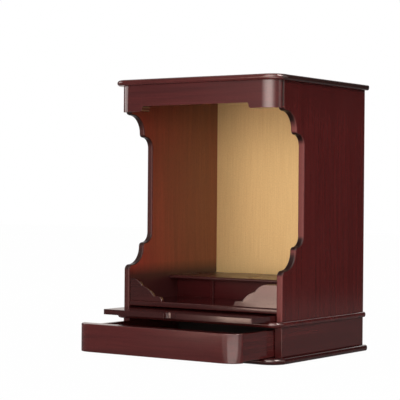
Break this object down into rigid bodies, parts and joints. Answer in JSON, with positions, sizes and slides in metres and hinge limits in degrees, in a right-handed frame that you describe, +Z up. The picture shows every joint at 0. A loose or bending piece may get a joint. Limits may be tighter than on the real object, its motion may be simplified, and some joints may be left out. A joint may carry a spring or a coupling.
{
  "type": "open altar cabinet",
  "caption": "Open-fronted small altar cabinet with shaped side panels, a raised rear shelf, a pull-out offering tray and a drawer in its base.",
  "frame": {"origin": "middle of the bottom board's underside, on the surface it stands on", "axes": "+X to the right as seen from the front, +Y back to the wall, +Z up"},
  "size_m": [0.3296, 0.389, 0.45],
  "materials": {
    "dark_wood": "satin dark red-brown wood",
    "gold_back": "fine-grained pale gold board",
    "dark_lining": "near-black flat lining"
  },
  "bodies": {
    "cabinet": {"top_board": "dark_wood", "header_board": "dark_wood", "left_side_panel": "dark_wood", "right_side_panel": "dark_wood", "back_panel": "gold_back", "hanging_rail": "dark_wood", "shelf_board": "dark_wood", "kick_board": "dark_wood", "left_kick_post": "dark_wood", "right_kick_post": "dark_wood", "floor_board": "dark_wood", "left_corner_bracket": "dark_wood", "right_corner_bracket": "dark_wood", "mid_board": "dark_wood", "left_base_side": "dark_wood", "right_base_side": "dark_wood", "base_back": "dark_wood", "bottom_board": "dark_wood"},
    "tray": {"tray_board": "dark_wood"},
    "drawer": {"drawer_front": "dark_wood", "drawer_left_side": "dark_wood", "drawer_right_side": "dark_wood", "drawer_back": "dark_lining", "drawer_bottom": "dark_lining"}
  },
  "joints": [
    {"name": "tray_slide", "type": "slide", "parent": "cabinet", "child": "tray", "axis": [0, -1, 0], "range_m": [-0.0695, 0.05]},
    {"name": "drawer_slide", "type": "slide", "parent": "cabinet", "child": "drawer", "axis": [0, -1, 0], "range_m": [-0.105, 0.055]}
  ]
}
